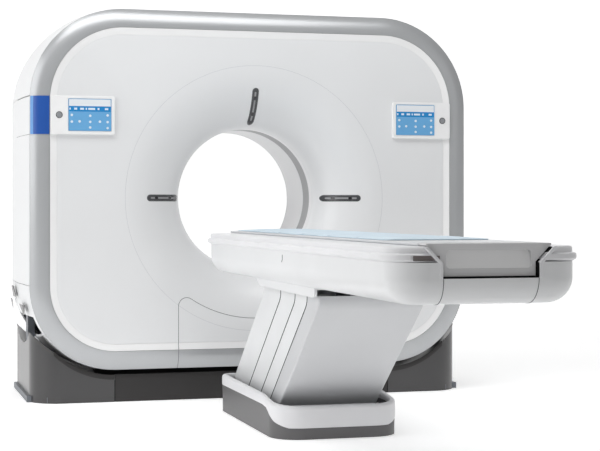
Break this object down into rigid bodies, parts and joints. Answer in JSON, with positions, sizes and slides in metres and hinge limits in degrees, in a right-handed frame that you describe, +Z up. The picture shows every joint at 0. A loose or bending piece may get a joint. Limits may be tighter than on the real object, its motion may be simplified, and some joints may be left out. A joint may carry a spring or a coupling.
{
  "type": "ct scanner",
  "caption": "CT scanner: tilting ring gantry on side pedestals with a turning X-ray set inside, and a patient table with a sliding cradle on a leaning parallelogram lift column.",
  "frame": {"origin": "on the floor under the centre of the patient bore, at the underside of the gantry's floor frame", "axes": "+X to the right as seen from the table, +Y along the bore away from the table, +Z up"},
  "size_m": [2.372, 4.01, 1.9798],
  "materials": {
    "housing_white": "satin",
    "ring_white": "gloss",
    "bezel_silver": "satin metallic",
    "window_grey": "matt",
    "laser_glass": "gloss",
    "base_dark": "satin",
    "badge_blue": "gloss",
    "screen_blue": "gloss",
    "button_dark": "matt",
    "frame_steel": "satin",
    "table_alloy": "satin",
    "set_grey": "satin",
    "motor_dark": "matt",
    "belt_rubber": "matt",
    "tray_grey": "satin",
    "column_white": "satin",
    "column_end": "satin",
    "table_white": "satin",
    "cradle_grey": "satin",
    "mat_blue": "matt"
  },
  "bodies": {
    "base": {"gantry_floor_frame": "frame_steel", "upright_left": "frame_steel", "upright_right": "frame_steel", "pedestal_cover_left": "base_dark", "pedestal_cover_right": "base_dark", "base_front_cover": "base_dark", "base_rear_cover": "base_dark", "table_floor_frame": "frame_steel", "table_base_skirt": "base_dark", "table_base_tray": "tray_grey"},
    "gantry": {"front_cover": "housing_white", "rear_cover": "housing_white", "front_bezel": "bezel_silver", "rear_bezel": "bezel_silver", "front_ring": "ring_white", "rear_ring": "ring_white", "side_shell_left": "housing_white", "side_shell_right": "housing_white", "top_shell": "housing_white", "lower_shell": "housing_white", "front_service_panel": "housing_white", "bore_front_ring": "housing_white", "bore_window_ring": "window_grey", "bore_rear_ring": "housing_white", "laser_window_top": "laser_glass", "laser_window_left": "laser_glass", "laser_window_right": "laser_glass", "control_panel_left": "housing_white", "control_panel_right": "housing_white", "display_left": "screen_blue", "display_right": "screen_blue", "badge_plate": "badge_blue", "tilt_frame": "frame_steel", "stator_ring": "frame_steel", "drive_motor": "motor_dark", "drive_belt": "belt_rubber"},
    "button_left": {"button_left": "button_dark"},
    "button_right": {"button_right": "button_dark"},
    "rotor": {"rotor_drum": "table_alloy", "xray_tube": "table_alloy", "detector_arc": "set_grey", "hv_generator": "set_grey", "heat_exchanger": "table_alloy", "slip_ring": "set_grey"},
    "motor_pulley": {"motor_pulley": "motor_dark"},
    "lift_a": {"lift_arm_a": "frame_steel", "column_cover_a": "column_white"},
    "slab_b": {"column_cover_b": "column_white"},
    "lift_c": {"lift_arm_c": "frame_steel", "column_cover_c": "column_white"},
    "slab_d": {"column_cover_d": "column_end"},
    "table": {"table_frame": "table_alloy", "table_hull": "table_white", "table_rim": "table_white", "table_end_panel": "table_white"},
    "cradle": {"cradle": "cradle_grey", "cradle_handle": "cradle_grey", "table_mat": "mat_blue"}
  },
  "joints": [
    {"name": "gantry_tilt", "type": "hinge", "parent": "base", "child": "gantry", "pos_m": [0, 0, 1.015], "axis": [1, 0, 0], "range_deg": [-24, 24]},
    {"name": "rotor_spin", "type": "hinge", "parent": "gantry", "child": "rotor", "pos_m": [0, 0, 1.015], "axis": [0, 1, 0], "continuous": true},
    {"name": "pulley_spin", "type": "hinge", "parent": "gantry", "child": "motor_pulley", "pos_m": [0.62, 0, 0.43], "axis": [0, 1, 0], "continuous": true},
    {"name": "button_left_press", "type": "slide", "parent": "gantry", "child": "button_left", "axis": [0, 1, 0], "range_m": [0, 0.0025], "stiffness_N_per_m": 800},
    {"name": "button_right_press", "type": "slide", "parent": "gantry", "child": "button_right", "axis": [0, 1, 0], "range_m": [0, 0.0025], "stiffness_N_per_m": 800},
    {"name": "table_lift", "type": "hinge", "parent": "base", "child": "lift_a", "pos_m": [0, -1.131, 0.09], "axis": [-1, 0, 0], "range_deg": [-17.69, 6.84]},
    {"name": "slab_b_swing", "type": "hinge", "parent": "base", "child": "slab_b", "pos_m": [0, -1.369, 0.09], "axis": [-1, 0, 0], "range_deg": [-17.69, 6.84]},
    {"name": "lift_c_swing", "type": "hinge", "parent": "base", "child": "lift_c", "pos_m": [0, -1.557, 0.09], "axis": [-1, 0, 0], "range_deg": [-17.69, 6.84]},
    {"name": "slab_d_swing", "type": "hinge", "parent": "base", "child": "slab_d", "pos_m": [0, -1.688, 0.09], "axis": [-1, 0, 0], "range_deg": [-17.69, 6.84]},
    {"name": "table_level", "type": "hinge", "parent": "lift_a", "child": "table", "pos_m": [0, -1.9239, 0.705], "axis": [-1, 0, 0], "range_deg": [-6.84, 17.69]},
    {"name": "cradle_slide", "type": "slide", "parent": "table", "child": "cradle", "axis": [0, 1, 0], "range_m": [0, 1.7]}
  ],
  "couplings": [
    {"joint": "pulley_spin", "follows": "rotor_spin", "ratio": 11.667},
    {"joint": "slab_b_swing", "follows": "table_lift", "ratio": 1},
    {"joint": "lift_c_swing", "follows": "table_lift", "ratio": 1},
    {"joint": "slab_d_swing", "follows": "table_lift", "ratio": 1},
    {"joint": "table_level", "follows": "table_lift", "ratio": -1}
  ]
}
